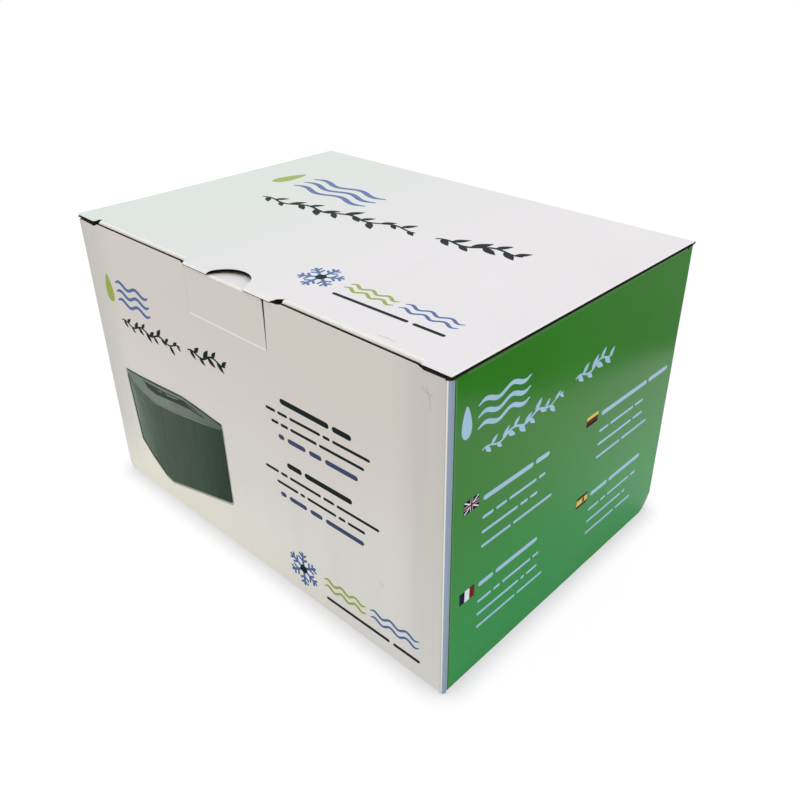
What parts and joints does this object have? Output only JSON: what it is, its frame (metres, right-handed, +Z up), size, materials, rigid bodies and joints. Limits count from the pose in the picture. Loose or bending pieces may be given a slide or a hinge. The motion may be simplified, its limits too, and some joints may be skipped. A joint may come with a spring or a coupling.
{
  "type": "vaccine carrier in carton",
  "caption": "Tuck-top carton with a locking lid, holding a zipped insulated vaccine bag and its flat cold packs.",
  "frame": {"origin": "centre of the footprint on the surface the carton stands on", "axes": "+X to the right along the front panel, +Y to the back, +Z up"},
  "size_m": [0.26, 0.183, 0.162],
  "materials": {
    "white_board": "white coated E-flute board, satin",
    "green_board": "green printed E-flute board, gloss varnish",
    "kraft_board": "uncoated brown inner liner",
    "shell_fabric": "dark green coated nylon, slight sheen",
    "foam": "closed-cell foam, matt",
    "stiffener": "corrugated plastic sheet",
    "lining_fabric": "grey-green wipe-clean lining, satin",
    "binding_tape": "woven binding tape",
    "zip_plastic": "moulded teeth",
    "zip_metal": "die-cast metal, satin",
    "webbing": "ribbed polypropylene webbing",
    "gel_pack": "translucent blue film over gel"
  },
  "bodies": {
    "carton": {"front_panel": "white_board", "back_panel": "white_board", "left_panel": "green_board", "right_panel": "green_board", "glue_flap": "kraft_board", "bottom_flap_front": "white_board", "bottom_flap_back": "white_board", "bottom_flap_left": "white_board", "bottom_flap_right": "white_board", "bag_shell": "shell_fabric", "insulation_base": "foam", "insulation_front": "foam", "insulation_back": "foam", "insulation_left": "foam", "insulation_right": "foam", "insulation_top_front": "foam", "insulation_top_back": "foam", "base_board": "stiffener", "bag_lining": "lining_fabric", "top_lining_front": "lining_fabric", "top_lining_back": "lining_fabric", "top_panel_front": "shell_fabric", "top_panel_back": "shell_fabric", "rim_binding": "binding_tape", "zip_tape_front": "binding_tape", "zip_tape_back": "binding_tape", "zip_teeth_front": "zip_plastic", "zip_teeth_back": "zip_plastic", "zip_stop_open": "zip_metal", "zip_stop_closed": "zip_metal", "carry_strap": "webbing", "strap_patch_left": "shell_fabric", "strap_patch_right": "shell_fabric", "cold_pack_front": "gel_pack", "cold_pack_back": "gel_pack"},
    "lid": {"lid_panel": "white_board"},
    "tuck_flap": {"tuck_flap": "white_board"},
    "dust_flap_left": {"dust_flap_left": "white_board"},
    "dust_flap_right": {"dust_flap_right": "white_board"},
    "lock_tab": {"lock_tab": "white_board"},
    "lock_tongue": {"lock_tongue": "white_board"},
    "zip_slider": {"zip_slider": "zip_metal"},
    "zip_puller": {"zip_puller": "zip_metal"}
  },
  "joints": [
    {"name": "lid_hinge", "type": "hinge", "parent": "carton", "child": "lid", "pos_m": [0, 0.0915, 0.1604], "axis": [-1, 0, 0], "range_deg": [0, 175]},
    {"name": "tuck_fold", "type": "hinge", "parent": "lid", "child": "tuck_flap", "pos_m": [0, -0.0896, 0.1601], "axis": [-1, 0, 0], "range_deg": [0, 62]},
    {"name": "dust_fold_left", "type": "hinge", "parent": "carton", "child": "dust_flap_left", "pos_m": [-0.13, 0, 0.1585], "axis": [0, -1, 0], "range_deg": [0, 97]},
    {"name": "dust_fold_right", "type": "hinge", "parent": "carton", "child": "dust_flap_right", "pos_m": [0.13, 0, 0.1585], "axis": [0, 1, 0], "range_deg": [0, 97]},
    {"name": "lock_tab_hinge", "type": "hinge", "parent": "carton", "child": "lock_tab", "pos_m": [0, -0.0915, 0.1358], "axis": [1, 0, 0], "range_deg": [0, 40]},
    {"name": "tongue_fold", "type": "hinge", "parent": "lock_tab", "child": "lock_tongue", "pos_m": [0, -0.0899, 0.15827], "axis": [-1, 0, 0], "range_deg": [0, 29]},
    {"name": "zip_slide", "type": "slide", "parent": "carton", "child": "zip_slider", "axis": [-1, 0, 0], "range_m": [0, 0.198]},
    {"name": "puller_hinge", "type": "hinge", "parent": "zip_slider", "child": "zip_puller", "pos_m": [0.0992, 0, 0.13535], "axis": [0, 1, 0], "range_deg": [0, 170]}
  ],
  "couplings": [
    {"joint": "tuck_fold", "follows": "lid_hinge", "ratio": 0.35},
    {"joint": "dust_fold_left", "follows": "lid_hinge", "ratio": 0.55},
    {"joint": "dust_fold_right", "follows": "lid_hinge", "ratio": 0.55},
    {"joint": "tongue_fold", "follows": "lock_tab_hinge", "ratio": 0.7}
  ]
}
